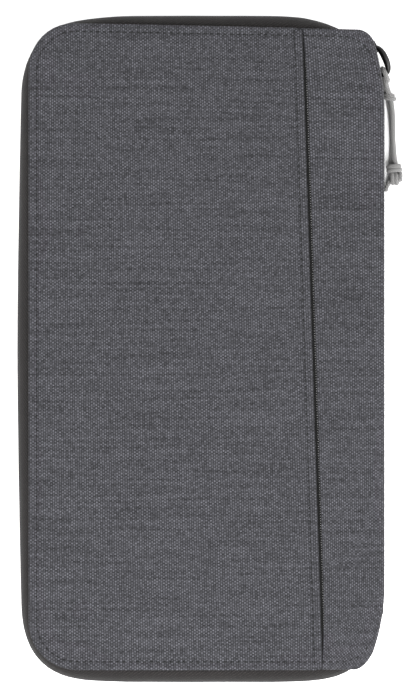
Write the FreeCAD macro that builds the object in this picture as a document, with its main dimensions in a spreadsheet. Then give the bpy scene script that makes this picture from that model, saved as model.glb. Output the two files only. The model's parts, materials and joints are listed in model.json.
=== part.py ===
import FreeCAD, Part
import math
import os
import Sketcher

# A zipped travel document wallet that lies on its back cover, front cover up.
# Frame: X across the wallet with the spine at +X, Y along the spine, Z up, millimetres.
# The origin is at the middle of the face it rests on.

Vector = FreeCAD.Vector

doc = FreeCAD.newDocument("passport_wallet")

# ---------------------------------------------------------------- driving dimensions

DIMENSIONS = {
    # overall
    "half_width": 66,
    "half_length": 120,
    "thickness": 24,
    # zip line: a rounded rectangle at half height, seen from above
    "zip_right": 62.8,
    "zip_corner": 28,
    "zip_end_y": 96.9,
    "coil_end_y": 99.5,
    "zip_gap": 1,
    "tape_thick": 0.8,
    "tape_clear": 0.1,
    "flange_width": 5,
    "flange_thick": 0.6,
    "flange_right": 38,
    "coil_thick": 2.2,
    "coil_width": 2.2,
    "stop_side": 2,
    "stop_angle": 13,
    "stop_clear": 0.1,
    # covers, from the outside in
    "cover_left": 61.5,
    "cover_right": 64.1,
    "cover_half_length": 116,
    "cover_corner_left": 15.5,
    "cover_corner_right": 8,
    "shell_back": 0.8,
    "hem_thick": 0.3,
    "shell_front": 0.5,
    "stiffener_thick": 0.8,
    "rfid_thick": 0.2,
    "lining_thick": 0.5,
    "inner_inset": 5.4,
    "inner_corner_right": 30,
    "hem_right": 42,
    "hem_width": 3,
    # binding over the inner seam
    "binding_outer": 5.6,
    "binding_width": 3,
    "binding_thick": 0.7,
    # spine
    "spine_half_length": 94,
    "spine_end_gap": 0.35,
    "spine_fabric": 0.7,
    "spine_board": 0.4,
    "spine_lining": 0.4,
    # pen loop
    "loop_depth": 10.2,
    "loop_height": 10.8,
    "loop_wall": 0.8,
    "loop_length": 22,
    "loop_corner": 3,
    # pockets inside
    "pocket_half_width": 50,
    "pocket_left": 52,
    "pocket_end": 103,
    "seam_width": 3,
    "panel_thick": 0.5,
    "ticket_gap": 0.3,
    "passport_gap": 1.1,
    "passport_top": 2,
    "banknote_gap": 0.7,
    "banknote_foot": 10,
    "card_half_width": 46,
    "card_foot": 8,
    "card_first_top": 99,
    "card_step": 12,
    "card_pitch": 0.6,
    # coin pocket and its zip
    "coin_panel_low": 3.8,
    "coin_zip_y": 10,
    "coin_slit": 0.4,
    "coin_tape_width": 5.6,
    "coin_top_width": 9,
    "coin_coil_width": 1.6,
    "coin_coil_thick": 1,
    "coin_zip_half": 44,
    "coin_stop_length": 2,
    "coin_slider_x": 38,
    "coin_slider_half_length": 4.5,
    "coin_slider_half_width": 3,
    "coin_slider_low": 3,
    "coin_slider_high": 6.2,
    "coin_blade": 0.5,
    "coin_post_half": 0.15,
    "coin_bail_high": 8.2,
    "coin_bail_half": 1.2,
    "coin_pull_pivot_z": 6.95,
    "coin_pull_length": 9.4,
    "coin_pull_half_width": 2.3,
    "coin_pull_thick": 0.7,
    "coin_pull_hole": 5.5,
    "coin_pull_clear": 0.4,
    # main slider: two blades bent to the corner, joined by a web between the tapes
    "slider_start": 16,
    "slider_sweep": 20,
    "slider_low": 8,
    "slider_high": 16,
    "slider_outer": 2.6,
    "slider_blade": 0.7,
    "slider_inner": 4.4,
    "slider_web_half": 0.25,
    # bail on the slider, a flat staple seen from above
    "bail_angle": 31,
    "bail_reach": 3.1,
    "bail_wall": 0.6,
    "bail_half_width": 2.1,
    "bail_half_height": 0.8,
    # puller ring
    "ring_pivot": 4,
    "ring_angle": -66,
    "ring_length": 11.8,
    "ring_height": 8.5,
    "ring_corner": 3.9,
    "ring_bar": 1.4,
    "ring_thick": 1.2,
    "ring_centre_z": 11.5,
    # cord on the ring
    "cord_diameter": 1.8,
    "knot_upper_x": 68.7,
    "knot_upper_y": 91.2,
    "knot_upper_half_x": 2.5,
    "knot_upper_half_y": 1.8,
    "knot_upper_half_z": 2.1,
    "knot_end_x": 70.3,
    "knot_end_y": 63.6,
    "knot_end_half_x": 3.1,
    "knot_end_half_y": 3.3,
    "knot_end_half_z": 2.05,
    "floor_gap": 0.05,
}


class Size:
    """A length together with the sheet expression that gives it."""

    def __init__(self, value, text):
        self.value = value
        self.text = text

    def join(self, other, sign, value):
        """The result of one sum, with the text of both sides."""
        return Size(value, f"({self.text} {sign} {as_size(other).text})")

    def __add__(self, other):
        return self.join(other, "+", self.value + as_size(other).value)

    def __sub__(self, other):
        return self.join(other, "-", self.value - as_size(other).value)

    def __mul__(self, other):
        return self.join(other, "*", self.value * as_size(other).value)

    def __truediv__(self, other):
        return self.join(other, "/", self.value / as_size(other).value)

    def __neg__(self):
        return Size(-self.value, f"(-1 * {self.text})")


def as_size(number):
    """Plain numbers count as sizes that nothing drives."""
    return number if isinstance(number, Size) else Size(float(number), str(number))


def write_sheet():
    """Puts every driving dimension in the sheet, one row each."""
    sheet = doc.addObject("Spreadsheet::Sheet", "sizes")
    for row, (name, value) in enumerate(DIMENSIONS.items(), start=1):
        sheet.set(f"A{row}", name)
        sheet.set(f"B{row}", str(value))
        sheet.setAlias(f"B{row}", name)
    doc.recompute()


def dim(name):
    """The size that the sheet holds under this name."""
    return Size(float(DIMENSIONS[name]), f"sizes.{name}")


write_sheet()

# ---------------------------------------------------------------- sketches and features

NODES = []


def bind(thing, prop, size):
    """Sets one property from the sheet."""
    thing.setExpression(prop, as_size(size).text)


def new_body(label, low=0):
    """An empty body whose sketches lie at height low."""
    body = doc.addObject("PartDesign::Body", label)
    body.Label = label
    bind(body, "Placement.Base.z", low)
    NODES.append(body)
    return body


def new_sketch(body, plane, rise=0):
    """A sketch on one of the body's own planes, moved along that plane's normal."""
    sketch = body.newObject("Sketcher::SketchObject", f"{body.Label}_sketch")
    planes = [item for item in body.Origin.OriginFeatures if item.Role == plane]
    sketch.AttachmentSupport = [(planes[0], "")]
    sketch.MapMode = "FlatFace"
    bind(sketch, "AttachmentOffset.Base.z", rise)
    return sketch


def fix_point(sketch, line, end, x, y):
    """Holds one end of a line at x, y from the sketch's origin."""
    for kind, size in (("DistanceX", x), ("DistanceY", y)):
        size = as_size(size)
        if size.value < 0:
            where = (line, end, -1, 1)
            size = -size
        else:
            where = (-1, 1, line, end)
        index = sketch.addConstraint(Sketcher.Constraint(kind, *where, size.value))
        sketch.setExpression(f"Constraints[{index}]", size.text)


def add_polygon(sketch, points):
    """A closed outline of straight lines through sheet-driven points."""
    places = [Vector(as_size(x).value, as_size(y).value, 0) for x, y in points]
    ends = places[1:] + places[:1]
    lines = [sketch.addGeometry(Part.LineSegment(a, b), False) for a, b in zip(places, ends)]
    for line, following in zip(lines, lines[1:] + lines[:1]):
        sketch.addConstraint(Sketcher.Constraint("Coincident", line, 2, following, 1))
    for line, (x, y) in zip(lines, points):
        fix_point(sketch, line, 1, x, y)


def add_rectangle(sketch, x0, x1, y0, y1):
    """A rectangle between two pairs of sizes."""
    add_polygon(sketch, [(x0, y0), (x1, y0), (x1, y1), (x0, y1)])


def add_rounded(sketch, x0, x1, y0, y1, radius_left, radius_right):
    """A rectangle with one corner radius at its left end and another at its right end."""
    left, right, low, high = (as_size(size).value for size in (x0, x1, y0, y1))
    radii = [as_size(radius_right), as_size(radius_right), as_size(radius_left), as_size(radius_left)]
    corners = [(right, low), (right, high), (left, high), (left, low)]
    inward = [(-1, 1), (-1, -1), (1, -1), (1, 1)]
    arcs = []
    for index, (radius, (x, y), (dx, dy)) in enumerate(zip(radii, corners, inward)):
        centre = Vector(x + dx * radius.value, y + dy * radius.value, 0)
        circle = Part.Circle(centre, Vector(0, 0, 1), radius.value)
        start = math.radians(90 * index - 90)
        arcs.append(sketch.addGeometry(Part.ArcOfCircle(circle, start, start + math.pi / 2), False))
    lines = []
    for arc, following in zip(arcs, arcs[1:] + arcs[:1]):
        ends = sketch.Geometry[arc].EndPoint, sketch.Geometry[following].StartPoint
        lines.append(sketch.addGeometry(Part.LineSegment(*ends), False))
        sketch.addConstraint(Sketcher.Constraint("Tangent", arc, 2, lines[-1], 1))
        sketch.addConstraint(Sketcher.Constraint("Tangent", lines[-1], 2, following, 1))
    for line, kind in zip(lines, ("Vertical", "Horizontal", "Vertical", "Horizontal")):
        sketch.addConstraint(Sketcher.Constraint(kind, line))
    for arc, radius in zip(arcs, radii):
        index = sketch.addConstraint(Sketcher.Constraint("Radius", arc, radius.value))
        sketch.setExpression(f"Constraints[{index}]", radius.text)
    for line, kind, size in zip(lines, ("DistanceX", "DistanceY") * 2, (x1, y1, x0, y0)):
        size = as_size(size)
        where = (line, 1, -1, 1) if size.value < 0 else (-1, 1, line, 1)
        size = -size if size.value < 0 else size
        index = sketch.addConstraint(Sketcher.Constraint(kind, *where, size.value))
        sketch.setExpression(f"Constraints[{index}]", size.text)


def add_zip_outline(sketch, offset):
    """The zip line's rounded rectangle, moved outward by offset."""
    offset = as_size(offset)
    radius = dim("zip_corner") + offset
    far = dim("half_length") + offset
    add_rounded(sketch, -(dim("half_width") + offset), dim("zip_right") + offset, -far, far, radius, radius)


def pad(body, sketch, length, midplane=False):
    """Adds material from the sketch along its normal."""
    feature = body.newObject("PartDesign::Pad", f"{body.Label}_pad")
    feature.Profile = sketch
    if midplane:
        feature.SideType = "Symmetric"
    bind(feature, "Length", length)
    body.Tip = feature
    doc.recompute()
    return feature


def cut_through(body, sketch):
    """Cuts the sketch's outline away both ways and checks that something went."""
    before = body.Shape.Volume
    feature = body.newObject("PartDesign::Pocket", f"{body.Label}_pocket")
    feature.Profile = sketch
    feature.Type = "ThroughAll"
    feature.SideType = "Symmetric"
    body.Tip = feature
    doc.recompute()
    if body.Shape.Volume > before - 1e-3:
        raise RuntimeError(f"{body.Label}: the pocket cut nothing")


def rounded_plate(label, low, thick, outline):
    """A flat layer with rounded corners."""
    body = new_body(label, low)
    sketch = new_sketch(body, "XY_Plane")
    add_rounded(sketch, *outline)
    pad(body, sketch, thick)
    return body


def rectangle_plate(label, low, thick, *blocks):
    """One or more flat rectangles in one node, each given as x0, x1, y0, y1."""
    body = new_body(label, low)
    sketch = new_sketch(body, "XY_Plane")
    for block in blocks:
        add_rectangle(sketch, *block)
    pad(body, sketch, thick)
    return body


def pad_band(body, outer, inner, rise, thick, open_half):
    """Adds a flat band along the zip line and opens it on the spine's side over +-open_half."""
    sketch = new_sketch(body, "XY_Plane", rise)
    add_zip_outline(sketch, outer)
    add_zip_outline(sketch, inner)
    pad(body, sketch, thick)
    gap = new_sketch(body, "XY_Plane")
    add_rectangle(gap, dim("flange_right"), dim("half_width") + dim("zip_corner"), -open_half, open_half)
    cut_through(body, gap)


def u_band(label, low, outer, inner, thick, open_half):
    """A flat band along the zip line in a node of its own."""
    body = new_body(label, low)
    pad_band(body, outer, inner, 0, thick, open_half)


# ---------------------------------------------------------------- covers

FULL = dim("thickness")
SHELL_OUTLINE = (-dim("cover_left"), dim("cover_right"), -dim("cover_half_length"),
                 dim("cover_half_length"), dim("cover_corner_left"), dim("cover_corner_right"))
INNER_EDGE = dim("half_length") - dim("inner_inset")
INNER_OUTLINE = (-(dim("half_width") - dim("inner_inset")), dim("cover_right"), -INNER_EDGE, INNER_EDGE,
                 dim("zip_corner") - dim("inner_inset"), dim("inner_corner_right"))

BACK_LINING_LOW = dim("shell_back") + dim("stiffener_thick") + dim("rfid_thick")
BACK_INSIDE = BACK_LINING_LOW + dim("lining_thick")
POCKET_LOW = FULL - dim("hem_thick") - dim("shell_front")
SHELL_LOW = POCKET_LOW - dim("shell_front")
FRONT_STIFFENER_LOW = SHELL_LOW - dim("stiffener_thick")
FRONT_RFID_LOW = FRONT_STIFFENER_LOW - dim("rfid_thick")
FRONT_INSIDE = FRONT_RFID_LOW - dim("lining_thick")

ZIP_CORNER_X = dim("zip_right") - dim("zip_corner")
ZIP_CORNER_Y = dim("half_length") - dim("zip_corner")
TAPE_MEET_LOW = (FULL - dim("zip_gap")) / 2
TAPE_MEET_HIGH = (FULL + dim("zip_gap")) / 2


def make_cover_layers():
    """Outer fabric, stiffener, screening foil and lining of both covers."""
    rounded_plate("back_shell_fabric", 0, dim("shell_back"), SHELL_OUTLINE)
    rounded_plate("back_stiffener", dim("shell_back"), dim("stiffener_thick"), INNER_OUTLINE)
    rounded_plate("back_rfid_layer", dim("shell_back") + dim("stiffener_thick"), dim("rfid_thick"),
                  INNER_OUTLINE)
    rounded_plate("back_lining", BACK_LINING_LOW, dim("lining_thick"), INNER_OUTLINE)
    rounded_plate("front_shell_fabric", SHELL_LOW, dim("shell_front"), SHELL_OUTLINE)
    rounded_plate("front_stiffener", FRONT_STIFFENER_LOW, dim("stiffener_thick"), INNER_OUTLINE)
    rounded_plate("front_rfid_layer", FRONT_RFID_LOW, dim("rfid_thick"), INNER_OUTLINE)
    rounded_plate("front_lining", FRONT_INSIDE, dim("lining_thick"), INNER_OUTLINE)


def make_front_pocket():
    """The slip pocket outside the front cover, open towards the spine, and its hem."""
    panel = rounded_plate("front_pocket_panel", POCKET_LOW, dim("shell_front"), SHELL_OUTLINE)
    beyond = new_sketch(panel, "XY_Plane")
    far = dim("half_length")
    add_rectangle(beyond, dim("hem_right"), dim("half_width"), -far, far)
    cut_through(panel, beyond)
    edge = dim("cover_half_length")
    rectangle_plate("front_pocket_hem", FULL - dim("hem_thick"), dim("hem_thick"),
                    (dim("hem_right") - dim("hem_width"), dim("hem_right"), -edge, edge))


def make_zip_side(side, tape_low, tape_high, flange_low, coil_low, binding_low):
    """One side's tape with its sewn flange, its coil, end stops and inner seam binding."""
    half = dim("tape_thick") / 2
    tape = new_body(f"zip_tape_{side}", tape_low)
    whole = dim("half_length") * 2
    pad_band(tape, -half, -dim("flange_width"), flange_low - tape_low, dim("flange_thick"), whole)
    pad_band(tape, half, -half, 0, tape_high - tape_low, dim("zip_end_y"))
    inner = -half - dim("coil_thick")
    u_band(f"zip_coil_{side}", coil_low, -half, inner, dim("coil_width"), dim("coil_end_y"))
    outer = -dim("binding_outer")
    u_band(f"{side}_binding", binding_low, outer, outer - dim("binding_width"), dim("binding_thick"),
           dim("zip_end_y"))
    make_stops(f"zip_stops_{side}", coil_low)


def make_stops(label, low):
    """The two metal stops at the ends of one coil, on the corners beside the spine."""
    angle = DIMENSIONS["stop_angle"]
    radius = dim("zip_corner") - dim("tape_thick") / 2 - dim("stop_side") / 2 - dim("stop_clear")
    parts = []
    for index, way in enumerate((1, -1)):
        box = doc.addObject("Part::Box", f"{label}_{index}")
        bind(box, "Length", dim("stop_side"))
        bind(box, "Width", dim("stop_side"))
        bind(box, "Height", dim("coil_width"))
        turn = FreeCAD.Rotation(Vector(0, 0, 1), way * angle)
        along = Vector(math.cos(math.radians(angle)), way * math.sin(math.radians(angle)), 0)
        corner = Vector(ZIP_CORNER_X.value, way * ZIP_CORNER_Y.value, low.value) + along * radius.value
        offset = turn.multVec(Vector(-dim("stop_side").value / 2, -dim("stop_side").value / 2, 0))
        box.Placement = FreeCAD.Placement(corner + offset, turn)
        parts.append(box)
    group = doc.addObject("Part::Compound", label)
    group.Label = label
    group.Links = parts
    NODES.append(group)


def make_main_zip():
    """Both sides of the zip that closes the wallet round three sides."""
    low = dim("shell_back") + dim("tape_clear")
    make_zip_side("back", low, TAPE_MEET_LOW, low, TAPE_MEET_LOW - dim("coil_width"), BACK_INSIDE)
    high = SHELL_LOW - dim("tape_clear")
    make_zip_side("front", TAPE_MEET_HIGH, high, high - dim("flange_thick"), TAPE_MEET_HIGH,
                  FRONT_INSIDE - dim("binding_thick"))


# ---------------------------------------------------------------- spine

def make_spine():
    """The fabric spine with its board, its lining and the pen loop sewn inside it."""
    low = dim("spine_end_gap")
    height = FULL - dim("spine_end_gap") * 2
    outside = dim("half_width")
    for label, thick in (("spine_fabric", dim("spine_fabric")), ("spine_stiffener", dim("spine_board")),
                         ("spine_lining", dim("spine_lining"))):
        inside = outside - thick
        half = dim("spine_half_length")
        rectangle_plate(label, low, height, (inside, outside, -half, half))
        outside = inside
    loop = new_body("pen_loop")
    sketch = new_sketch(loop, "XZ_Plane")
    wall = dim("loop_wall")
    middle = FULL / 2
    left = outside - dim("loop_depth")
    bottom = middle - dim("loop_height") / 2
    top = middle + dim("loop_height") / 2
    corner = dim("loop_corner")
    add_rounded(sketch, left, outside, bottom, top, corner, corner)
    add_rounded(sketch, left + wall, outside - wall, bottom + wall, top - wall, corner - wall, corner - wall)
    pad(loop, sketch, dim("loop_length"), midplane=True)


# ---------------------------------------------------------------- pockets inside

def slip_pocket(label, x0, x1, y0, y1, panel_low, base, opens):
    """A flat pocket: a panel, and a seam on three of its sides that reaches down or up to base."""
    body = new_body(label)
    panel = new_sketch(body, "XY_Plane", panel_low)
    add_rectangle(panel, x0, x1, y0, y1)
    pad(body, panel, dim("panel_thick"))
    seam = dim("seam_width")
    if opens == "top":
        outline = [(x0, y0), (x1, y0), (x1, y1), (x1 - seam, y1), (x1 - seam, y0 + seam),
                   (x0 + seam, y0 + seam), (x0 + seam, y1), (x0, y1)]
    else:
        outline = [(x0, y0), (x1, y0), (x1, y0 + seam), (x0 + seam, y0 + seam),
                   (x0 + seam, y1 - seam), (x1, y1 - seam), (x1, y1), (x0, y1)]
    panel_high = panel_low + dim("panel_thick")
    above = base.value > panel_high.value
    start, end = (panel_high, base) if above else (base, panel_low)
    rim = new_sketch(body, "XY_Plane", start)
    add_polygon(rim, outline)
    pad(body, rim, end - start)


def make_pockets():
    """Slip pockets and card slots on the lining of both covers."""
    left = -dim("pocket_left")
    right = dim("pocket_half_width")
    end = dim("pocket_end")
    ticket_high = FRONT_INSIDE - dim("ticket_gap")
    ticket_low = ticket_high - dim("panel_thick")
    slip_pocket("ticket_pocket", left, right, -end, end, ticket_low, FRONT_INSIDE, "right")
    passport_low = ticket_low - dim("passport_gap") - dim("panel_thick")
    slip_pocket("passport_pocket", -right, right - dim("seam_width"), -end + dim("seam_width"),
                dim("passport_top"), passport_low, ticket_low, "top")
    for index in range(4):
        half = dim("card_half_width")
        rectangle_plate(f"card_slot_{index + 1}", ticket_low - dim("card_pitch") * (index + 1),
                        dim("panel_thick"),
                        (-half, half, dim("card_foot"), dim("card_first_top") - dim("card_step") * index))
    slip_pocket("banknote_pocket", left, right, dim("banknote_foot"), end,
                BACK_INSIDE + dim("banknote_gap"), BACK_INSIDE, "top")


# ---------------------------------------------------------------- coin pocket

def make_coin_pocket():
    """A zipped pocket on the back cover's lining, with its tapes, coils and end stops."""
    left = -dim("pocket_left")
    right = dim("pocket_half_width")
    centre = -dim("coin_zip_y")
    slit = dim("coin_slit")
    tape_far = slit + dim("coin_tape_width")
    low = dim("coin_panel_low")
    slip_pocket("coin_pocket_panel", left, right, -dim("pocket_end"), centre - tape_far, low, BACK_INSIDE,
                "top")
    top = new_body("coin_pocket_top")
    panel = new_sketch(top, "XY_Plane", low)
    far = centre + tape_far + dim("coin_top_width")
    add_rectangle(panel, left, right, centre + tape_far, far)
    pad(top, panel, dim("panel_thick"))
    rim = new_sketch(top, "XY_Plane", BACK_INSIDE)
    add_rectangle(rim, left, right, far - dim("seam_width"), far)
    pad(top, rim, low - BACK_INSIDE)
    rectangle_plate("coin_zip_tapes", low, dim("panel_thick"),
                    (left, right, centre - tape_far, centre - slit),
                    (left, right, centre + slit, centre + tape_far))
    coil_low = low + dim("panel_thick")
    half = dim("coin_zip_half")
    coil_far = slit + dim("coin_coil_width")
    rectangle_plate("coin_zip_coils", coil_low, dim("coin_coil_thick"),
                    (-half, half, centre - coil_far, centre - slit),
                    (-half, half, centre + slit, centre + coil_far))
    beyond = half + dim("coin_stop_length")
    rectangle_plate("coin_zip_stops", coil_low, dim("coin_coil_thick"),
                    (-beyond, -half, centre - coil_far, centre + coil_far),
                    (half, beyond, centre - coil_far, centre + coil_far))


def make_coin_slider():
    """The coin pocket's slider with its bail, and the pull that lies flat on the zip."""
    slider = new_body("coin_zip_slider")
    centre = -dim("coin_zip_y")
    middle = -dim("coin_slider_x")
    half = dim("coin_slider_half_width")
    blade = dim("coin_blade")
    low = dim("coin_slider_low")
    high = dim("coin_slider_high")
    post = dim("coin_post_half")
    profile = new_sketch(slider, "YZ_Plane", middle)
    add_polygon(profile, [(centre - half, low), (centre + half, low), (centre + half, low + blade),
                          (centre + post, low + blade), (centre + post, high - blade),
                          (centre + half, high - blade), (centre + half, high), (centre - half, high),
                          (centre - half, high - blade), (centre - post, high - blade),
                          (centre - post, low + blade), (centre - half, low + blade)])
    pad(slider, profile, dim("coin_slider_half_length") * 2, midplane=True)
    bail = new_sketch(slider, "XZ_Plane", -centre)
    half_length = dim("coin_slider_half_length") - dim("coin_bail_half")
    top = dim("coin_bail_high")
    bail_start = middle - half_length
    bail_end = middle + half_length
    add_polygon(bail, [(bail_start, high), (bail_start + blade, high), (bail_start + blade, top - blade),
                       (bail_end - blade, top - blade), (bail_end - blade, high), (bail_end, high),
                       (bail_end, top), (bail_start, top)])
    pad(slider, bail, dim("coin_bail_half"), midplane=True)
    pull = new_body("coin_zip_pull")
    tab_low = dim("coin_pull_pivot_z") - dim("coin_pull_thick") / 2
    tab = new_sketch(pull, "XY_Plane", tab_low)
    wide = dim("coin_pull_half_width")
    start = bail_start + blade + dim("coin_pull_clear")
    end = start + dim("coin_pull_length")
    add_rounded(tab, start, end, centre - wide, centre + wide, wide / 2, wide / 2)
    hole_half = wide - 1
    hole_start = start + 1
    add_rounded(tab, hole_start, hole_start + dim("coin_pull_hole"), centre - hole_half, centre + hole_half,
                hole_half / 2, hole_half / 2)
    pad(pull, tab, dim("coin_pull_thick"))


# ---------------------------------------------------------------- main slider and puller

def place_at_corner(body, angle):
    """Moves a body over the corner's centre and turns it round to angle degrees."""
    turn = FreeCAD.Rotation(Vector(0, 0, 1), angle)
    centre = Vector(ZIP_CORNER_X.value, ZIP_CORNER_Y.value, body.Placement.Base.z)
    body.Placement = FreeCAD.Placement(centre, turn)


def make_slider():
    """The slider bent to the corner, and the bail that holds the ring."""
    body = new_body("zip_slider_body")
    profile = new_sketch(body, "XZ_Plane")
    outer = dim("zip_corner") + dim("slider_outer")
    inner = dim("zip_corner") - dim("slider_inner")
    blade = dim("slider_blade")
    low = dim("slider_low")
    high = dim("slider_high")
    web_low = FULL / 2 - dim("slider_web_half")
    web_high = FULL / 2 + dim("slider_web_half")
    add_polygon(profile, [(inner, low), (inner + blade, low), (inner + blade, web_low),
                          (outer - blade, web_low), (outer - blade, low), (outer, low), (outer, high),
                          (outer - blade, high), (outer - blade, web_high), (inner + blade, web_high),
                          (inner + blade, high), (inner, high)])
    turned = body.newObject("PartDesign::Revolution", "slider_revolution")
    turned.Profile = profile
    turned.ReferenceAxis = (profile, ["V_Axis"])
    bind(turned, "Angle", dim("slider_sweep"))
    body.Tip = turned
    doc.recompute()
    place_at_corner(body, DIMENSIONS["slider_start"])
    bail = new_body("zip_slider_bail", dim("ring_centre_z"))
    staple = new_sketch(bail, "XY_Plane")
    wall = dim("bail_wall")
    reach = outer + dim("bail_reach")
    wide = dim("bail_half_width")
    add_polygon(staple, [(outer, -wide), (reach, -wide), (reach, wide), (outer, wide),
                         (outer, wide - wall), (reach - wall, wide - wall),
                         (reach - wall, -wide + wall), (outer, -wide + wall)])
    pad(bail, staple, dim("bail_half_height") * 2, midplane=True)
    place_at_corner(bail, DIMENSIONS["bail_angle"])


def ring_pivot():
    """Where the ring turns in the bail, seen from above."""
    radius = DIMENSIONS["zip_corner"] + DIMENSIONS["ring_pivot"]
    angle = math.radians(DIMENSIONS["bail_angle"])
    return Vector(ZIP_CORNER_X.value + radius * math.cos(angle),
                  ZIP_CORNER_Y.value + radius * math.sin(angle), DIMENSIONS["ring_centre_z"])


def make_ring():
    """The flat metal ring that the cord is looped on."""
    body = new_body("zip_puller_ring", dim("ring_centre_z"))
    sketch = new_sketch(body, "XZ_Plane")
    half = dim("ring_height") / 2
    bar = dim("ring_bar")
    start = -bar / 2
    end = start + dim("ring_length")
    corner = dim("ring_corner")
    add_rounded(sketch, start, end, -half, half, corner, corner)
    inner = corner - bar
    add_rounded(sketch, start + bar, end - bar, -half + bar, half - bar, inner, inner)
    pad(body, sketch, dim("ring_thick"), midplane=True)
    turn = FreeCAD.Rotation(Vector(0, 0, 1), DIMENSIONS["ring_angle"])
    body.Placement = FreeCAD.Placement(ring_pivot(), turn)


# ---------------------------------------------------------------- cord

# Two strands of one doubled cord: from the ring down to the floor and on to the end knot.
STRAND_A = [(66.7, 99.5, 9.5), (66.9, 97.2, 6.9), (67.6, 94.4, 4.4), (68.8, 91.2, 3.0), (69.6, 87.0, 2.8),
            (69.8, 81.5, 2.8), (69.8, 76.0, 2.8), (70.2, 70.5, 2.8), (70.7, 66.5, 2.5)]
STRAND_B = [(65.5, 100.9, 8.0), (65.6, 98.2, 4.9), (66.6, 95.0, 2.3), (67.9, 91.4, 1.05), (68.8, 86.5, 0.95),
            (69.3, 81.0, 0.95), (69.5, 76.0, 0.95), (69.4, 70.5, 0.95), (69.2, 66.5, 1.1)]
ARC_SHARE = 0.45


def rounded_route(label, points):
    """Straight runs joined by tangent arcs, as one wire, and its length."""
    places = [Vector(*point) for point in points]
    edges = []
    radii = []
    here = places[0]
    for before, corner, after in zip(places, places[1:], places[2:]):
        back = before - corner
        ahead = after - corner
        reach = ARC_SHARE * min(back.Length, ahead.Length)
        half_turn = (math.pi - back.getAngle(ahead)) / 2
        radii.append(reach / math.tan(half_turn))
        start = corner + back.normalize() * reach
        end = corner + ahead.normalize() * reach
        bisector = (back + ahead).normalize()
        centre = corner + bisector * (radii[-1] / math.cos(half_turn))
        middle = centre - bisector * radii[-1]
        edges.append(Part.LineSegment(here, start).toShape())
        edges.append(Part.Arc(start, middle, end).toShape())
        here = end
    edges.append(Part.LineSegment(here, places[-1]).toShape())
    print(f"{label}: radii {[round(radius, 1) for radius in radii]} mm")
    return Part.Wire(edges)


def make_cord(label, points):
    """A round tube along a route, checked against its section times its length."""
    wire = rounded_route(label, points)
    radius = DIMENSIONS["cord_diameter"] / 2
    start = Vector(*points[0])
    circle = Part.Circle(start, Vector(*points[1]) - start, radius)
    tube = wire.makePipeShell([Part.Wire(circle.toShape())], True, True)
    expected = math.pi * radius ** 2 * wire.Length
    print(f"{label}: length {wire.Length:.1f} mm, volume {tube.Volume:.1f} of {expected:.1f} mm3")
    if abs(tube.Volume / expected - 1) > 0.01:
        raise RuntimeError(f"{label}: the tube's volume is wrong")
    feature = doc.addObject("Part::Feature", label)
    feature.Label = label
    feature.Shape = tube
    NODES.append(feature)


def make_knot(label, prefix):
    """A knot as one closed solid that rests on the floor."""
    knot = doc.addObject("Part::Ellipsoid", label)
    knot.Label = label
    half_z = dim(f"{prefix}_half_z")
    bind(knot, "Radius1", half_z)
    bind(knot, "Radius2", dim(f"{prefix}_half_x"))
    bind(knot, "Radius3", dim(f"{prefix}_half_y"))
    bind(knot, "Placement.Base.x", dim(f"{prefix}_x"))
    bind(knot, "Placement.Base.y", dim(f"{prefix}_y"))
    bind(knot, "Placement.Base.z", half_z + dim("floor_gap"))
    NODES.append(knot)


# ---------------------------------------------------------------- build, check and write

def check_model():
    """Every object must have recomputed, and every node must be a valid closed shape."""
    failed = [thing.Name for thing in doc.Objects if "Invalid" in thing.State or "Error" in thing.State]
    if failed:
        raise RuntimeError(f"objects that did not recompute: {failed}")
    for node in NODES:
        if node.Shape.isNull() or not node.Shape.isValid() or not node.Shape.Solids:
            raise RuntimeError(f"{node.Label}: no valid solid")


def write_parts():
    """Writes one STEP file per node."""
    os.makedirs("parts", exist_ok=True)
    for node in NODES:
        node.Shape.exportStep(f"parts/{node.Label}.step")
    print(f"{len(NODES)} nodes written")


make_cover_layers()
make_front_pocket()
make_main_zip()
make_spine()
make_pockets()
make_coin_pocket()
make_coin_slider()
make_slider()
make_ring()
make_cord("pull_cord_a", STRAND_A)
make_cord("pull_cord_b", STRAND_B)
make_knot("pull_cord_knot_upper", "knot_upper")
make_knot("pull_cord_knot_end", "knot_end")
doc.recompute()
check_model()
write_parts()
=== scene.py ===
import json
import math
import random

import bpy
import numpy as np
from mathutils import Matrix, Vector, noise


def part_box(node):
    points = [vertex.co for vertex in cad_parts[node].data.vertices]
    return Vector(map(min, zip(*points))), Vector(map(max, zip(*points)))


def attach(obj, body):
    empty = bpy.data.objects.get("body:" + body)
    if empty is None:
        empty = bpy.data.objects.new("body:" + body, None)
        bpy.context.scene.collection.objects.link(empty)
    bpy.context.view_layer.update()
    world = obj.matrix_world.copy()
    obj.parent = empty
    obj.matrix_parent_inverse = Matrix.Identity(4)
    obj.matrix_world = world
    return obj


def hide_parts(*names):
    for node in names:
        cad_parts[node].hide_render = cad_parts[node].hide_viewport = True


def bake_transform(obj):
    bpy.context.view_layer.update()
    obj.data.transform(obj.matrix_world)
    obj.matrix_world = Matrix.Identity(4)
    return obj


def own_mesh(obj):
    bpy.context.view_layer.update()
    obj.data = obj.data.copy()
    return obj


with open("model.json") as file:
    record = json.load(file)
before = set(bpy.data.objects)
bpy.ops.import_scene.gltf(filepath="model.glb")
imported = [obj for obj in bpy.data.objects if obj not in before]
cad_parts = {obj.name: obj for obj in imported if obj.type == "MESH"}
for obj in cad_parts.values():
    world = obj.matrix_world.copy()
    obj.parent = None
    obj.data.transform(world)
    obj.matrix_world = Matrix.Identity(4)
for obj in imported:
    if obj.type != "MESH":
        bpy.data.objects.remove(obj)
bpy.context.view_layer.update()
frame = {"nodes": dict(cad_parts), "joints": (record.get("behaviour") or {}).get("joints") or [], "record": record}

MM = 0.001
UP = Vector((0, 0, 1))
RANDOM = random.Random(7)

# ---------------- sizes, in millimetres


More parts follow.
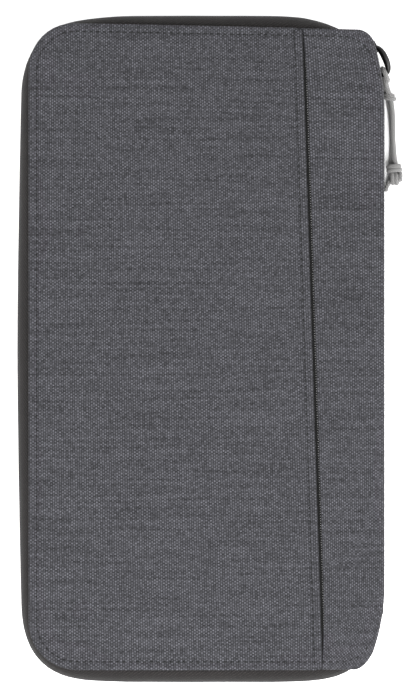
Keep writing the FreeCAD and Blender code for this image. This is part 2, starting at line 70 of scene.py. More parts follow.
def span(node):
    """A CAD node's lowest and highest corner in millimetres."""
    low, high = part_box(node)
    return low / MM, high / MM


def clamp(value):
    """A value kept between 0 and 1."""
    return min(1.0, max(0.0, value))


SHELL_HIGH = span("front_shell_fabric")[1]
TAPE_HIGH = span("zip_tape_front")[1]
BACK_TAPE_LOW = span("zip_tape_back")[0]
SPINE_HIGH = span("spine_fabric")[1]
THICKNESS = span("front_pocket_hem")[1].z
MIDDLE = THICKNESS / 2
FLOOR_GAP = 0.02

PANEL_LEFT = -61.3
PANEL_RIGHT = SPINE_HIGH.x
PANEL_TOP = 115.5
TOP_SLOPE = -0.02
PANEL_BOTTOM = -114.7
PANEL_CORNER = 17.0
FLARED_CORNER = 5.0
LOW_FLARED_CORNER = 7.5
PANEL_RADII = (LOW_FLARED_CORNER, FLARED_CORNER, PANEL_CORNER, PANEL_CORNER)
FLARE_ROOT = 20.0
FLARE_START = 85.0
TOP_FLARE = 0.0053
BOTTOM_FLARE = 0.0073

ZIP_CORNER = 28.0
TOP_TUCK = 0.95
BOTTOM_TUCK = 0.35
# How far the zip stands out at each corner, by whether it is at the right and at the top.
CORNER_FULLNESS = {(True, True): 0.0, (False, True): 0.6, (False, False): 1.4, (True, False): 2.3}
ZIP_LEFT = -SPINE_HIGH.x
ZIP_RIGHT = TAPE_HIGH.x + 0.03
ZIP_TOP = 120.0
ZIP_START_ANGLE = math.radians(10)

COVER_TOP = SHELL_HIGH.z + 0.25
CROWN = 0.9
CROWN_MIDDLE = 2.0
CROWN_HALF_WIDTH = 64.0
CROWN_HALF_LENGTH = 118.0
ROLL_REACH = 5.5
ROLL_DROP = 3.2
CLOTH = 0.5
FLAT_FROM = 4.6
RIPPLE_START = 8.0
STITCH_INSET = 2.8
STITCH_LENGTH = 1.5
STITCH_GAP = 0.9
THREAD = 0.23
MOUTH = 1.1
MOUTH_DEPTH = 0.6
TURNED_EDGE = 1.5
MOUTH_RIM = 0.8
STRIP_RISE = 0.55
STRIP_OVERLAP = 4.0

HEM_MIDDLE = 40.0
HEM_SLANT = -0.0315
HEM_WIDTH = 3.0

CORD_RADIUS = 0.9


# ---------------- mesh building

TUBE_WRAP = 4.0          # width of a texture that goes once round a tube


def make_mesh(name, points, faces, uvs):
    """A smooth object from points in millimetres, with one UV pair per point, in millimetres too."""
    mesh = bpy.data.meshes.new(name)
    mesh.from_pydata([(x * MM, y * MM, z * MM) for x, y, z in points], [], faces)
    layer = mesh.uv_layers.new(name="UVMap")
    indices = np.empty(len(mesh.loops), np.int32)
    mesh.loops.foreach_get("vertex_index", indices)
    layer.data.foreach_set("uv", (np.array(uvs, np.float32) * MM)[indices].ravel())
    mesh.shade_smooth()
    made = bpy.data.objects.new(name, mesh)
    bpy.context.scene.collection.objects.link(made)
    return made


def grid_faces(rows, columns, close=False, loop=False):
    """Quads over rows x columns points; close and loop join the last column or row to the first."""
    faces = []
    for row in range(rows if loop else rows - 1):
        here = row * columns
        above = (row + 1) % rows * columns
        for column in range(columns if close else columns - 1):
            after = (column + 1) % columns
            faces.append((here + column, here + after, above + after, above + column))
    return faces


def outline(x0, x1, y0, y1, radii, side_x, side_y, corner=10):
    """A rounded rectangle's points, anticlockwise from the bottom side's left end.

    radii are those of the bottom right, top right, top left and bottom left corners.
    """
    points = []
    corners = [(x1, y0, -1, 1), (x1, y1, -1, -1), (x0, y1, 1, -1), (x0, y0, 1, 1)]
    centres = [(x + dx * r, y + dy * r) for (x, y, dx, dy), r in zip(corners, radii)]
    ends = [(centres[3][0], y0), (x1, centres[0][1]), (centres[1][0], y1), (x0, centres[2][1])]
    counts = (side_x, side_y, side_x, side_y)
    for index, ((cx, cy), radius) in enumerate(zip(centres, radii)):
        start = ends[index]
        angle = math.radians(90 * index - 90)
        arc_start = (cx + radius * math.cos(angle), cy + radius * math.sin(angle))
        for step in range(counts[index]):
            share = step / counts[index]
            points.append((start[0] + (arc_start[0] - start[0]) * share,
                           start[1] + (arc_start[1] - start[1]) * share))
        for step in range(corner):
            turn = angle + math.pi / 2 * step / corner
            points.append((cx + radius * math.cos(turn), cy + radius * math.sin(turn)))
    return points


def ring_sheet(name, box, radii, rings, place, side_x=44, side_y=84, down=False):
    """A sheet with a rounded outline, meshed in rings from its edge to its middle.

    rings are (inset, drop) pairs; place(x, y, inset, drop) gives the point in millimetres.
    Quads join the innermost ring's long sides, and one face fills each of its rounded ends.
    """
    x0, x1, y0, y1 = box
    points = []
    uvs = []
    for inset, drop in rings:
        shrunk = [max(radius - inset, 0.2) for radius in radii]
        flat = outline(x0 + inset, x1 - inset, y0 + inset, y1 - inset, shrunk, side_x, side_y)
        points += [place(x, y, inset, drop) for x, y in flat]
        uvs += [(x, y) for x, y in flat]
    count = len(points) // len(rings)
    faces = grid_faces(len(rings), count, close=True)
    last = count * (len(rings) - 1)
    corner = (count - 2 * side_x - 2 * side_y) // 4

    def inner(first, length):
        return [last + (first + step) % count for step in range(length)]

    right = inner(side_x + corner, side_y + 1)
    left = inner(2 * side_x + side_y + 3 * corner, side_y + 1)[::-1]
    for step in range(side_y):
        faces.append((left[step], right[step], right[step + 1], left[step + 1]))
    for first in (-corner, side_x + side_y + corner):
        faces.append(tuple(inner(first, side_x + 2 * corner + 1)))
    piece = make_mesh(name, points, faces, uvs)
    if down:
        piece.data.flip_normals()
    return piece


def tube(name, path, radius, sides, closed=False, ups=None, flat=1.0):
    """A tube along a path in millimetres; radius may be a function of (share, angle)."""
    path = [Vector(point) for point in path]
    count = len(path)
    points = []
    uvs = []
    travelled = 0.0
    reference = Vector((0, 0, 1))
    for index, here in enumerate(path):
        before = path[index - 1] if index or closed else path[0]
        after = path[(index + 1) % count] if closed or index < count - 1 else path[-1]
        along = (after - before).normalized()
        up = ups[index] if ups else reference
        side = along.cross(up)
        if side.length < 1e-6:
            side = along.orthogonal()
        side.normalize()
        lift = side.cross(along).normalized()
        if not ups:
            reference = lift
        travelled += (here - path[index - 1]).length if index else 0.0
        for step in range(sides):
            angle = math.tau * step / sides
            reach = radius(index / (count - 1), angle) if callable(radius) else radius
            points.append(here + side * (math.cos(angle) * reach) + lift * (math.sin(angle) * reach * flat))
            uvs.append((travelled, step / sides * TUBE_WRAP))
    faces = grid_faces(count, sides, close=True, loop=closed)
    if not closed:
        faces.append(tuple(range(sides))[::-1])
        faces.append(tuple(range((count - 1) * sides, count * sides)))
    return make_mesh(name, points, faces, uvs)


def smooth_line(controls, resolution=12):
    """The points of the NURBS line with these control points, in millimetres."""
    curve = bpy.data.curves.new("route", "CURVE")
    curve.dimensions = "3D"
    spline = curve.splines.new("NURBS")
    spline.points.add(len(controls) - 1)
    for point, place in zip(spline.points, controls):
        point.co = (*place, 1)
    spline.order_u = 3
    spline.use_endpoint_u = True
    spline.resolution_u = resolution
    holder = bpy.data.objects.new("route", curve)
    mesh = bpy.data.meshes.new_from_object(holder)
    line = [vertex.co.copy() for vertex in mesh.vertices]
    bpy.data.objects.remove(holder)
    bpy.data.curves.remove(curve)
    bpy.data.meshes.remove(mesh)
    return line


def finish_piece(piece, body, slot, *replaced, material=None):
    """Gives a piece its body and the slot's material or its own, and hides the nodes it replaces."""
    piece.data.materials.append(material or MATERIALS[slot])
    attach(piece, body)
    if replaced:
        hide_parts(*replaced)
    return piece


# ---------------- materials


class Shader:
    """A small builder of node materials."""

    def __init__(self, name):
        self.material = bpy.data.materials.new(name)
        self.material.use_nodes = True
        self.tree = self.material.node_tree
        self.tree.nodes.clear()
        self.surface = self.tree.nodes.new("ShaderNodeBsdfPrincipled")
        output = self.tree.nodes.new("ShaderNodeOutputMaterial")
        self.tree.links.new(self.surface.outputs[0], output.inputs["Surface"])

    def feed(self, socket, value):
        """Links an output or sets a plain value."""
        if isinstance(value, bpy.types.NodeSocket):
            self.tree.links.new(value, socket)
        else:
            socket.default_value = value

    def add(self, kind, inputs, output=0, **settings):
        """Adds a node with these inputs and settings, and gives one of its outputs."""
        node = self.tree.nodes.new(kind)
        for key, value in settings.items():
            setattr(node, key, value)
        for key, value in inputs.items():
            self.feed(node.inputs[key], value)
        return node.outputs[output]

    def math(self, operation, first, second=0.0):
        return self.add("ShaderNodeMath", {0: first, 1: second}, operation=operation)

    def mix(self, share, first, second):
        """Mixes two colours."""
        return self.add("ShaderNodeMix", {"Factor": share, 6: first, 7: second}, 2, data_type="RGBA")

    def choose(self, share, first, second):
        """Mixes two numbers."""
        return self.add("ShaderNodeMix", {"Factor": share, 2: first, 3: second}, data_type="FLOAT")

    def split(self, vector):
        return [self.add("ShaderNodeSeparateXYZ", {0: vector}, part) for part in ("X", "Y")]

    def cloth_place(self):
        return self.add("ShaderNodeUVMap", {}, uv_map="UVMap")

    def object_place(self):
        return self.add("ShaderNodeTexCoord", {}, "Object")

    def noise(self, vector, scale, detail=2.0, output="Fac"):
        return self.add("ShaderNodeTexNoise", {"Vector": vector, "Scale": scale, "Detail": detail}, output)

    def stretch(self, vector, factors):
        return self.add("ShaderNodeVectorMath", {0: vector, 1: factors}, operation="MULTIPLY")

    def ramp(self, value, low, high):
        return self.add("ShaderNodeMapRange", {"Value": value, "From Min": low, "From Max": high})

    def bump(self, height, distance, strength):
        inputs = {"Height": height, "Distance": distance, "Strength": strength}
        self.set(Normal=self.add("ShaderNodeBump", inputs))

    def set(self, **values):
        for key, value in values.items():
            self.feed(self.surface.inputs[key.replace("_", " ")], value)


def grey(level, warm=0.0):
    """A linear grey, slightly warm or cool."""
    return (level * (1 + warm), level, level * (1 - warm), 1)


def brighter(colour, factor):
    """The same colour, lighter."""
    return tuple(factor * part for part in colour[:3]) + (1,)


DRIFT_SCALE = 170.0
STREAK_PER_METRE = 28
UNEVENNESS = {"yarn": 0.9, "patch": 0.2, "streak": 2.2, "crossing": 1.5}


def woven(name, weft, warp, thread, slub=0.5, depth=0.1, sheen=0.02, twill=False, roughness=0.85,
          squeeze=1.0, gap=0.0):
    """Cloth of crossing threads, laid out in the piece's own UV map, which is in metres."""
    s = Shader(name)
    uv = s.cloth_place()
    drift = [s.math("MULTIPLY", part, 0.6) for part in s.split(s.noise(uv, DRIFT_SCALE, output="Color"))]
    across, along = [s.math("ADD", s.math("MULTIPLY", part, 1 / (pitch * MM)), shift)
                     for part, pitch, shift in zip(s.split(uv), (thread, squeeze * thread), drift)]
    warp_shape, weft_shape = [s.math("ABSOLUTE", s.math("SINE", s.math("MULTIPLY", part, math.pi)))
                              for part in (across, along)]
    column = s.math("FLOOR", across)
    row = s.math("FLOOR", along)
    order = s.math("FLOORED_MODULO", s.math("ADD", column, row), 3.0 if twill else 2.0)
    over = s.math("LESS_THAN", order, 0.5)
    height = s.choose(over, weft_shape, warp_shape)
    fine = 1 / (thread * MM)
    long = fine / 12
    warp_tone = s.noise(s.stretch(uv, (fine, long, 1)), 1.0, 1.0)
    weft_tone = s.noise(s.stretch(uv, (long, fine, 1)), 1.0, 1.0)
    cell = s.add("ShaderNodeCombineXYZ", {"X": column, "Y": row})
    sources = {"yarn": s.choose(over, weft_tone, warp_tone), "patch": s.noise(uv, 90.0, 3.0),
               "streak": s.noise(s.stretch(uv, (STREAK_PER_METRE, fine / 1.5, 1)), 1.0),
               "crossing": s.add("ShaderNodeTexWhiteNoise", {"Vector": cell}, "Value")}
    varied = 1.0
    for source, weight in UNEVENNESS.items():
        away = s.math("SUBTRACT", sources[source], 0.5)
        varied = s.math("ADD", varied, s.math("MULTIPLY", away, weight * slub))
    # The yarns' uneven tone times painted shade: each thread is darkened where its profile dips, so the hollows
    # between crossing threads are painted dark.
    shade = s.math("MULTIPLY", varied, s.ramp(height, -0.5, 0.85))
    # gap paints extra shade into the gaps between the warp threads.
    if gap:
        shade = s.math("MULTIPLY", shade, s.ramp(warp_shape, -1 / gap, 0.9))
    colour = s.add("ShaderNodeVectorMath", {0: s.mix(over, weft, warp), "Scale": shade}, operation="SCALE")
    s.set(Base_Color=colour, Roughness=roughness, Specular_IOR_Level=0.12, Sheen_Weight=sheen,
          Sheen_Roughness=0.4)
    s.bump(height, depth * MM, 0.6)
    return s.material


def metal(name, colour, roughness):
    """Plated metal with fine scratches and worn, lighter patches."""
    s = Shader(name)
    place = s.object_place()
    fine = s.noise(s.stretch(place, (3000, 3000, 400)), 1.0, 3.0)
    worn = s.ramp(s.noise(place, 260.0, 4.0), 0.42, 0.62)
    s.set(Base_Color=s.mix(worn, colour, brighter(colour, 1.5)), Metallic=1.0,
          Roughness=s.math("ADD", s.math("MULTIPLY", fine, 0.2), roughness))
    s.bump(fine, 0.01 * MM, 0.25)
    return s.material


def plastic(name, colour, roughness):
    """Nylon with a faint drawn grain."""
    s = Shader(name)
    grain = s.noise(s.object_place(), 1500.0)
    s.set(Base_Color=s.mix(grain, colour, brighter(colour, 1.6)),
          Roughness=s.math("ADD", s.math("MULTIPLY", grain, 0.25), roughness))
    s.bump(grain, 0.02 * MM, 0.3)
    return s.material


def board(name, colour):
    """Foam board and foil: a mottled, slightly dented surface."""
    s = Shader(name)
    pores = s.noise(s.object_place(), 900.0, 3.0)
    s.set(Base_Color=s.mix(pores, colour, brighter(colour, 1.3)), Roughness=0.7)
    s.bump(pores, 0.05 * MM, 0.4)
    return s.material


def braided(name, dark, light, yarn=0.9):
    """Braided cord: two sets of crossing yarns in the tube's UV map."""
    s = Shader(name)
    uv = s.cloth_place()
    x, y = s.split(uv)
    along = s.math("MULTIPLY", x, 1 / (yarn * MM))
    around = s.math("MULTIPLY", y, 2 / MM)
    one, two = [s.math("SINE", s.math("MULTIPLY", s.math(way, along, around), math.pi))
                for way in ("ADD", "SUBTRACT")]
    relief = s.math("ABSOLUTE", s.math("MULTIPLY", one, two))
    fuzz = s.noise(s.stretch(uv, (4000, 4000, 1)), 1.0)
    # Yarn tops take the light colour and the grooves between crossing yarns take the dark one: painted shade in
    # the braid's grooves. The fuzz adds random variation in tone.
    share = s.math("ADD", s.math("MULTIPLY", relief, 0.7), s.math("MULTIPLY", fuzz, 0.4))
    s.set(Base_Color=s.mix(share, dark, light), Roughness=0.8, Sheen_Weight=0.2, Sheen_Roughness=0.4)
    s.bump(relief, 0.25 * MM, 0.9)
    return s.material


# Near-black cloth laid in the slip pocket's mouth: painted shadow under the pocket's edge.
MOUTH_SHADOW_CLOTH = woven("mouth_painted_shadow", grey(0.0003), grey(0.0012), 0.5, slub=0.2, sheen=0.0)
OVERLOCK_CLOTH = woven("overlock_thread", grey(0.02), grey(0.13), 0.15, slub=0.3)
# Thread darkened to near-black: partly its own grey and partly the painted shade of the stitch holes it sinks
# into.
THREAD_AND_HOLE_SHADE_CLOTH = woven("thread_with_hole_shade", grey(0.006, -0.03), grey(0.015, -0.03), 0.15, slub=0.2, sheen=0.0)
MATERIALS = {
    "shell_fabric": woven("melange_weave", (0.0155, 0.0155, 0.0176, 1), (0.0325, 0.0325, 0.037, 1), 0.8,
                          slub=0.52, squeeze=0.68, gap=1.3),
    "zip_tape": woven("tape_twill", (0.0045, 0.0041, 0.004, 1), (0.0125, 0.011, 0.0107, 1), 0.5, slub=0.35,
                      twill=True),
    "lining": woven("lining_taffeta", grey(0.009, -0.04), grey(0.022, -0.04), 0.3, slub=0.3, roughness=0.6),
    "pocket_fabric": woven("pocket_twill", grey(0.014, -0.03), grey(0.052, -0.03), 0.4, slub=0.4,
                           twill=True),
    "binding": woven("binding_grosgrain", grey(0.005), grey(0.014), 0.5, slub=0.2),
    "elastic": woven("elastic_rib", grey(0.004), grey(0.015), 0.8, slub=0.2, depth=0.2),
    # The cord's dark colour is the painted shade between its yarns.
    "cord": braided("cord_braid", grey(0.024, 0.015), grey(0.155, 0.015)),
    "dark_metal": metal("gunmetal", grey(0.018), 0.34),
    "zip_coil": plastic("coil_nylon", grey(0.01), 0.45),
    "stiffener": board("foam_board", grey(0.1)),
    "foil": board("screening_foil", grey(0.25)),
}

# ---------------- shared shapes


def flare(x, y):
    """How far the panel's spine edge draws back towards its corners."""
    beyond = max(0.0, abs(y) - FLARE_START)
    share = clamp((x - FLARE_ROOT) / (PANEL_RIGHT - FLARE_ROOT))
    return (TOP_FLARE if y > 0 else BOTTOM_FLARE) * beyond * beyond * share * share


def on_panel(x, y):
    """A point of the plain outline moved to where the sewn panel has it."""
    return x - flare(x, y), y + TOP_SLOPE * x * max(0.0, y / PANEL_TOP)


def crown(x, y):
    """Height of the stuffed wallet's gentle dome over its flat edges."""
    u = clamp(abs(x - CROWN_MIDDLE) / CROWN_HALF_WIDTH)
    v = clamp(abs(y) / CROWN_HALF_LENGTH)
    return CROWN * (1 - u ** 2.5) * (1 - v ** 4)


def ripple(x, y, seed=0.0):
    """Slack of cloth that has been handled: slow waves, a fraction of a millimetre high."""
    slow = noise.noise(Vector((x / 34, y / 46, seed)))
    quick = noise.noise(Vector((x / 9, y / 15, seed + 5)))
    return 0.22 * slow + 0.06 * quick


def fold_over(turned, depth, stitched=True):
    """Ring profile of a turned edge: from its hidden underside, round the fold, to the flat."""
    profile = [(turned, depth), (0.35, depth * 0.92), (0.05, depth * 0.66), (0.0, depth * 0.4),
               (0.18, depth * 0.17), (0.6, 0.05), (1.2, 0.0), (1.9, 0.03)]
    if stitched:
        profile += [(2.4, 0.16), (STITCH_INSET, 0.24), (3.2, 0.16), (3.8, 0.03)]
    return profile + [(FLAT_FROM, 0.0)]


def inner_rings(first, last, count):
    """Flat rings from one inset to another, closer near the edge."""
    return [(first + (last - first) * (step / count) ** 1.2, 0.0) for step in range(1, count + 1)]


# ---------------- covers


def cover_height(x, y, inset=RIPPLE_START):
    """Top of the front cover's cloth."""
    return COVER_TOP + crown(x, y) + ripple(x, y) * clamp(inset / RIPPLE_START)


def spine_drop(x):
    """The cover's cloth bends down over the spine's edge in a wide roll."""
    away = clamp((x - (PANEL_RIGHT - ROLL_REACH)) / ROLL_REACH)
    return ROLL_DROP * (1 - math.sqrt(1 - away ** 2))


def make_front_cover():
    """The cover's cloth that lies under the slip pocket and shows in its mouth."""
    box = (PANEL_LEFT, PANEL_RIGHT - STRIP_OVERLAP, PANEL_BOTTOM, PANEL_TOP)

    def place(x, y, inset, drop):
        return (*on_panel(x, y), cover_height(x, y, inset) - MOUTH_DEPTH - drop * 0.3 - spine_drop(x))

    rings = fold_over(1.5, 1.3) + inner_rings(FLAT_FROM, 60.5, 18)
    piece = ring_sheet("front_cover_cloth", box, PANEL_RADII, rings, place)
    return finish_piece(piece, "front_half", "shell_fabric", "front_shell_fabric")


def strip_height(x, y):
    """Top of the strip beside the spine, level with the pocket."""
    return cover_height(x, y) + STRIP_RISE - spine_drop(x)


def make_spine_strip():
    """The strip between the pocket's mouth and the spine, rolled over the spine's edge."""
    left = HEM_MIDDLE + MOUTH
    box = (left, PANEL_RIGHT, PANEL_BOTTOM, PANEL_TOP)
    radii = (LOW_FLARED_CORNER, FLARED_CORNER, 0.6, 0.6)

    def place(x, y, inset, drop):
        share = 1 - clamp((x - left) / (PANEL_RIGHT - left))
        px, py = on_panel(x, y)
        return (px + HEM_SLANT * y * share, py, strip_height(x, y) - drop)

    rings = fold_over(1.6, 1.5, stitched=False) + inner_rings(FLAT_FROM, 12.0, 5)
    piece = ring_sheet("spine_side_cloth", box, radii, rings, place, side_x=12)
    return finish_piece(piece, "front_half", "shell_fabric")


def make_back_cover():
    """The grey cloth of the back cover, pressed flat where it rests."""
    box = (PANEL_LEFT, PANEL_RIGHT, PANEL_BOTTOM, PANEL_TOP)

    def place(x, y, inset, drop):
        slack = abs(ripple(x, y, 3)) * 0.3 * clamp(inset / RIPPLE_START)
        return (*on_panel(x, y), FLOOR_GAP + slack + drop + spine_drop(x))

    rings = fold_over(1.5, 1.3) + inner_rings(FLAT_FROM, 62.5, 14)
    piece = ring_sheet("back_cover_cloth", box, PANEL_RADII, rings, place, down=True)
    return finish_piece(piece, "back_half", "shell_fabric", "back_shell_fabric")


def hem_x(y):
    """Where the slip pocket's free edge lies at this height."""
    return HEM_MIDDLE + HEM_SLANT * y


def pocket_height(x, y, inset=RIPPLE_START):
    """Top of the slip pocket's cloth, a layer above the cover."""
    return cover_height(x, y, inset) + CLOTH + 0.1


def make_slip_pocket():
    """The big pocket panel of the front, sewn in on three sides and open towards the spine."""
    right = HEM_MIDDLE - 0.6
    box = (PANEL_LEFT - 0.15, right, PANEL_BOTTOM - 0.15, PANEL_TOP + 0.15)
    radii = (0.8, 0.8, PANEL_CORNER, PANEL_CORNER)

    def place(x, y, inset, drop):
        share = (x - PANEL_LEFT) / (right - PANEL_LEFT)
        near_hem = clamp((right - x) / 6)
        height = pocket_height(x, y, inset) - drop * (near_hem if drop < 0.4 else 1.0)
        px, py = on_panel(x, y)
        return (px + HEM_SLANT * y * share, py, height)

    rings = fold_over(1.2, 1.0) + inner_rings(FLAT_FROM, 48.5, 18)
    piece = ring_sheet("slip_pocket_cloth", box, radii, rings, place)
    return finish_piece(piece, "front_half", "shell_fabric", "front_pocket_panel")


def along_hem(offset, lift, steps=110):
    """Points down the pocket's mouth, offset to the right of its edge."""
    line = []
    for step in range(steps + 1):
        y = PANEL_TOP - 1.4 + (PANEL_BOTTOM - PANEL_TOP + 2.0) * step / steps
        line.append((hem_x(y) + offset, y, pocket_height(hem_x(y) + offset, y) + lift))
    return line


def make_hem():
    """The pocket's folded free edge, and a near-black ribbon in its mouth that paints the shadow under the edge.
    """
    box = (HEM_MIDDLE - HEM_WIDTH, HEM_MIDDLE, PANEL_BOTTOM + 0.3, PANEL_TOP - 1.2)
    rings = [(0.5, 1.1), (0.1, 0.7), (0.0, 0.4), (0.12, 0.12), (0.4, 0.0), (0.9, -0.02), (1.4, -0.02)]

    def place(x, y, inset, drop):
        share = 1.0 if x > box[0] + 1 else 0.3
        return (x + HEM_SLANT * y, y, pocket_height(x, y) + 0.1 - drop * share)

    piece = ring_sheet("slip_pocket_hem", box, (0.5, 0.5, 0.5, 0.5), rings, place, side_x=3)
    finish_piece(piece, "front_half", "shell_fabric", "front_pocket_hem")
    # A near-black ribbon along the mouth: painted shadow under the pocket's edge.
    line = along_hem(MOUTH / 2, -0.75)
    ribbon = tube("pocket_mouth_shadow_ribbon", line, MOUTH, 10, ups=[UP] * len(line), flat=0.2)
    finish_piece(ribbon, "front_half", "binding", material=MOUTH_SHADOW_CLOTH)
    stitch_row("stitches_mouth_overlock", along_hem(0.95 * MOUTH, -0.4, 300), "front_half", OVERLOCK_CLOTH,
               length=0.36, gap=0.5)


# ---------------- stitches

STITCH_SHAPE = ((0.0, 0.25), (0.12, 0.8), (0.5, 1.0), (0.88, 0.8), (1.0, 0.25))
STITCH_SIDES = 6
UNEVEN = 0.05


def stitch_row(name, path, body, material=THREAD_AND_HOLE_SHADE_CLOTH, length=STITCH_LENGTH, gap=STITCH_GAP, facing=1):
    """Thread laid along a path in millimetres: a row of short raised stitches in one mesh.

    STITCH_SHAPE gives each stitch's thickness, as a share of the thread's, along its length.
    """
    path = [Vector(point) for point in path]
    lengths = [0.0]
    for before, after in zip(path, path[1:]):
        lengths.append(lengths[-1] + (after - before).length)

    def at(distance):
        distance = min(max(distance, 0.0), lengths[-1])
        index = max(1, int(np.searchsorted(lengths, distance)))
        share = (distance - lengths[index - 1]) / max(1e-9, lengths[index] - lengths[index - 1])
        return path[index - 1].lerp(path[index], share)

    points = []
    faces = []
    rings = grid_faces(len(STITCH_SHAPE), STITCH_SIDES, close=True)
    first_end = tuple(range(STITCH_SIDES))[::-1]
    last_end = tuple(range((len(STITCH_SHAPE) - 1) * STITCH_SIDES, len(STITCH_SHAPE) * STITCH_SIDES))
    for number in range(int(lengths[-1] / (length + gap))):
        start = number * (length + gap) + RANDOM.uniform(-UNEVEN, UNEVEN)
        base = len(points)
        a, b = at(start), at(start + length)
        side = (b - a).normalized().cross(UP).normalized()
        lean = RANDOM.uniform(-UNEVEN, UNEVEN)
        for level, swell in STITCH_SHAPE:
            centre = a.lerp(b, level) + side * (lean * (level - 0.5) * 2)
            centre = centre + UP * (facing * THREAD * (swell - 1.0) * 1.2)
            for step in range(STITCH_SIDES):
                angle = math.tau * step / STITCH_SIDES
                points.append(centre + side * (math.cos(angle) * THREAD * swell)
                              + UP * (math.sin(angle) * THREAD * swell))
        faces += [tuple(base + corner for corner in face) for face in rings + [first_end, last_end]]
    uvs = [(point.x, point.y) for point in points]
    piece = make_mesh(name, points, faces, uvs)
    return finish_piece(piece, body, "shell_fabric", material=material)


def make_front_stitches():
    """Topstitching round the front panel, along the hem, and across the flared corners."""
    inset = STITCH_INSET
    box = (PANEL_LEFT + inset, hem_x(0) - 1, PANEL_BOTTOM + inset, PANEL_TOP - inset)
    radius = PANEL_CORNER - inset
    side_x, side_y, corner = 60, 110, 10
    flat = outline(*box, (0.2, 0.2, radius, radius), side_x, side_y, corner)
    run = flat[side_x + side_y + 2 * corner:] + flat[:side_x]
    start = [(hem_x(PANEL_TOP) - HEM_WIDTH, box[3])]
    end = [(hem_x(PANEL_BOTTOM) - HEM_WIDTH, box[2])]
    path = [(*on_panel(x, y), pocket_height(x, y, inset) - 0.1) for x, y in start + run + end]
    stitch_row("stitches_pocket_seam", path, "front_half")
    stitch_row("stitches_hem", along_hem(-STITCH_INSET, 0.12), "front_half")
    for name, way in (("top", 1), ("bottom", -1)):
        edge = PANEL_TOP if way > 0 else -PANEL_BOTTOM
        seam = smooth_line([(hem_x(way * edge) + 1.5, edge - inset, 0), (50, edge - inset, 0),
                            (56.5, edge - inset, 0), (61.8, edge - inset - 3.0, 0), (64.6, edge - 12.5, 0),
                            (65.2, edge - 19, 0)])
        turn = []
        for point in seam:
            x, y = on_panel(point.x, way * point.y)
            turn.append((x, y, strip_height(point.x, way * point.y) - 0.02))
        stitch_row(f"stitches_spine_{name}", turn, "front_half")


# ---------------- zip

ZIP_STEP = 1.2
ZIP_HALF_WIDTH = 64.0
WAIST_LEAST = 0.3
WAIST_MORE = 1.7
TUCK_PLACE = 43.0
TUCK_SPREAD = 10.0
TAPE_LEVELS = 12
TAPE_SEAM_INSET = 0.9
TAPE_BULGE = 0.25
TAPE_SLACK = 0.16
COIL_PITCH = 1.3
COIL_WIRE = 0.3
COIL_SEAT = 1.35
COIL_HALF_HEIGHT = 1.65
COIL_START = 3.0
BINDING_INSET = 7.1
BINDING_HALF = 1.5


def drawn_in(x, y, nx, ny):
    """How far the zip's edge lies inside its plain outline, in millimetres."""
    across = max(0.0, -x / ZIP_HALF_WIDTH)
    waist = WAIST_LEAST + WAIST_MORE * across ** 4 * clamp(abs(y) / 112) ** 1.5
    near = math.exp(-((abs(x) - TUCK_PLACE) / TUCK_SPREAD) ** 2)
    tuck = (TOP_TUCK if y > 0 else BOTTOM_TUCK) * near * abs(ny)
    fullness = CORNER_FULLNESS[(x > 0, y > 0)] * (2 * nx * ny) ** 2
    return waist + tuck - fullness


def zip_line():
    """Points of the zip line, its outward directions and its running length."""
    radius = ZIP_CORNER
    right, left = ZIP_RIGHT - radius, ZIP_LEFT + radius
    far = ZIP_TOP - radius
    quarter = math.pi / 2
    corners = [(right, far, ZIP_START_ANGLE, quarter), (left, far, quarter, 2 * quarter),
               (left, -far, 2 * quarter, 3 * quarter),
               (right, -far, 3 * quarter, math.tau - ZIP_START_ANGLE)]
    places = []
    for index, (cx, cy, start, end) in enumerate(corners):
        count = max(4, int(radius * (end - start) / ZIP_STEP))
        for number in range(count + 1):
            angle = start + (end - start) * number / count
            nx, ny = math.cos(angle), math.sin(angle)
            places.append((cx + radius * nx, cy + radius * ny, nx, ny))
        if index < 3:
            x, y = places[-1][:2]
            dx, dy = corners[index + 1][0] - cx, corners[index + 1][1] - cy
            count = int(math.hypot(dx, dy) / ZIP_STEP)
            places += [(x + dx * step / count, y + dy * step / count, nx, ny) for step in range(1, count)]
    depths = [drawn_in(*place) for place in places]
    places = [(x - nx * depth, y - ny * depth, nx, ny) for (x, y, nx, ny), depth in zip(places, depths)]
    travelled = [0.0]
    for before, after in zip(places, places[1:]):
        travelled.append(travelled[-1] + math.dist(before[:2], after[:2]))
    return places, travelled


ZIP_PLACES, ZIP_TRAVEL = zip_line()


def panel_edge(inset):
    """The panel's outline, drawn in by inset, as an array."""
    radii = [max(0.3, radius - inset) for radius in PANEL_RADII]
    flat = outline(PANEL_LEFT + inset, PANEL_RIGHT - inset, PANEL_BOTTOM + inset, PANEL_TOP - inset,
                   radii, 140, 260, 40)
    return np.array([on_panel(x, y) for x, y in flat])


